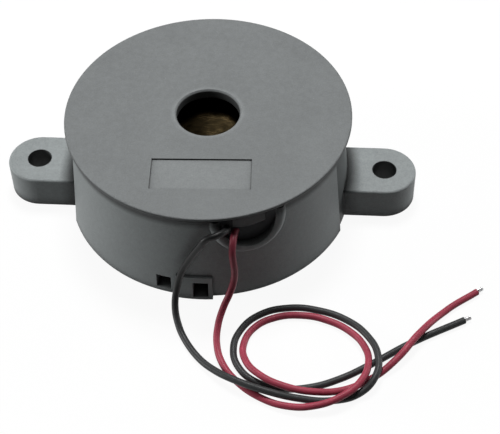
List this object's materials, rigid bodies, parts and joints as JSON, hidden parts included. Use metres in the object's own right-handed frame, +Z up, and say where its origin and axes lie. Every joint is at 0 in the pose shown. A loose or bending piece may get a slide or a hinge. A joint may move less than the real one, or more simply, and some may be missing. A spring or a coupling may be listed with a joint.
{
  "type": "piezo buzzer",
  "caption": "Round piezo sounder in a dark moulded case with a sound hole, two screw ears and a pair of thin flying leads.",
  "frame": {"origin": "centre of the base face that rests on the surface", "axes": "+Z up through the sound hole, +X along the line of the two screw ears, leads leave the front at -Y"},
  "size_m": [0.0717, 0.0623, 0.0161],
  "materials": {
    "case_plastic": "fine matt moulded texture, dark grey",
    "cover_plastic": "fine matt moulded texture, dark grey",
    "brass_plate": "rolled brass, slightly tarnished",
    "ceramic": "silvered ceramic",
    "board": "phenolic paper board",
    "solder": "solder and tinned wire",
    "copper_wire": "enamelled copper wire",
    "ferrite": "sintered ferrite",
    "black_epoxy": "moulded epoxy and shrink sleeve",
    "resistor_body": "lacquer with colour bands",
    "diode_glass": "clear glass",
    "capacitor_sleeve": "printed sleeve over aluminium",
    "glue": "silicone adhesive",
    "seal_rubber": "soft black rubber",
    "red_insulation": "soft PVC insulation, dark red",
    "black_insulation": "soft PVC insulation, black",
    "blue_insulation": "soft PVC insulation, blue"
  },
  "bodies": {
    "root": {"case": "case_plastic", "front_cover": "cover_plastic", "diaphragm": "brass_plate", "piezo_ceramic": "ceramic", "diaphragm_glue": "glue", "element_solder": "solder", "circuit_board": "board", "board_solder": "solder", "transistor": "black_epoxy", "inductor_core": "ferrite", "inductor_winding": "copper_wire", "inductor_sleeve": "black_epoxy", "resistor_a": "resistor_body", "resistor_b": "resistor_body", "resistor_c": "resistor_body", "capacitor": "capacitor_sleeve", "diode": "diode_glass", "main_wire": "red_insulation", "feedback_wire": "blue_insulation", "ground_wire": "black_insulation", "lead_seal": "seal_rubber", "lead_pins": "solder", "red_lead": "red_insulation", "black_lead": "black_insulation", "red_lead_tip": "solder", "black_lead_tip": "solder"}
  },
  "joints": []
}
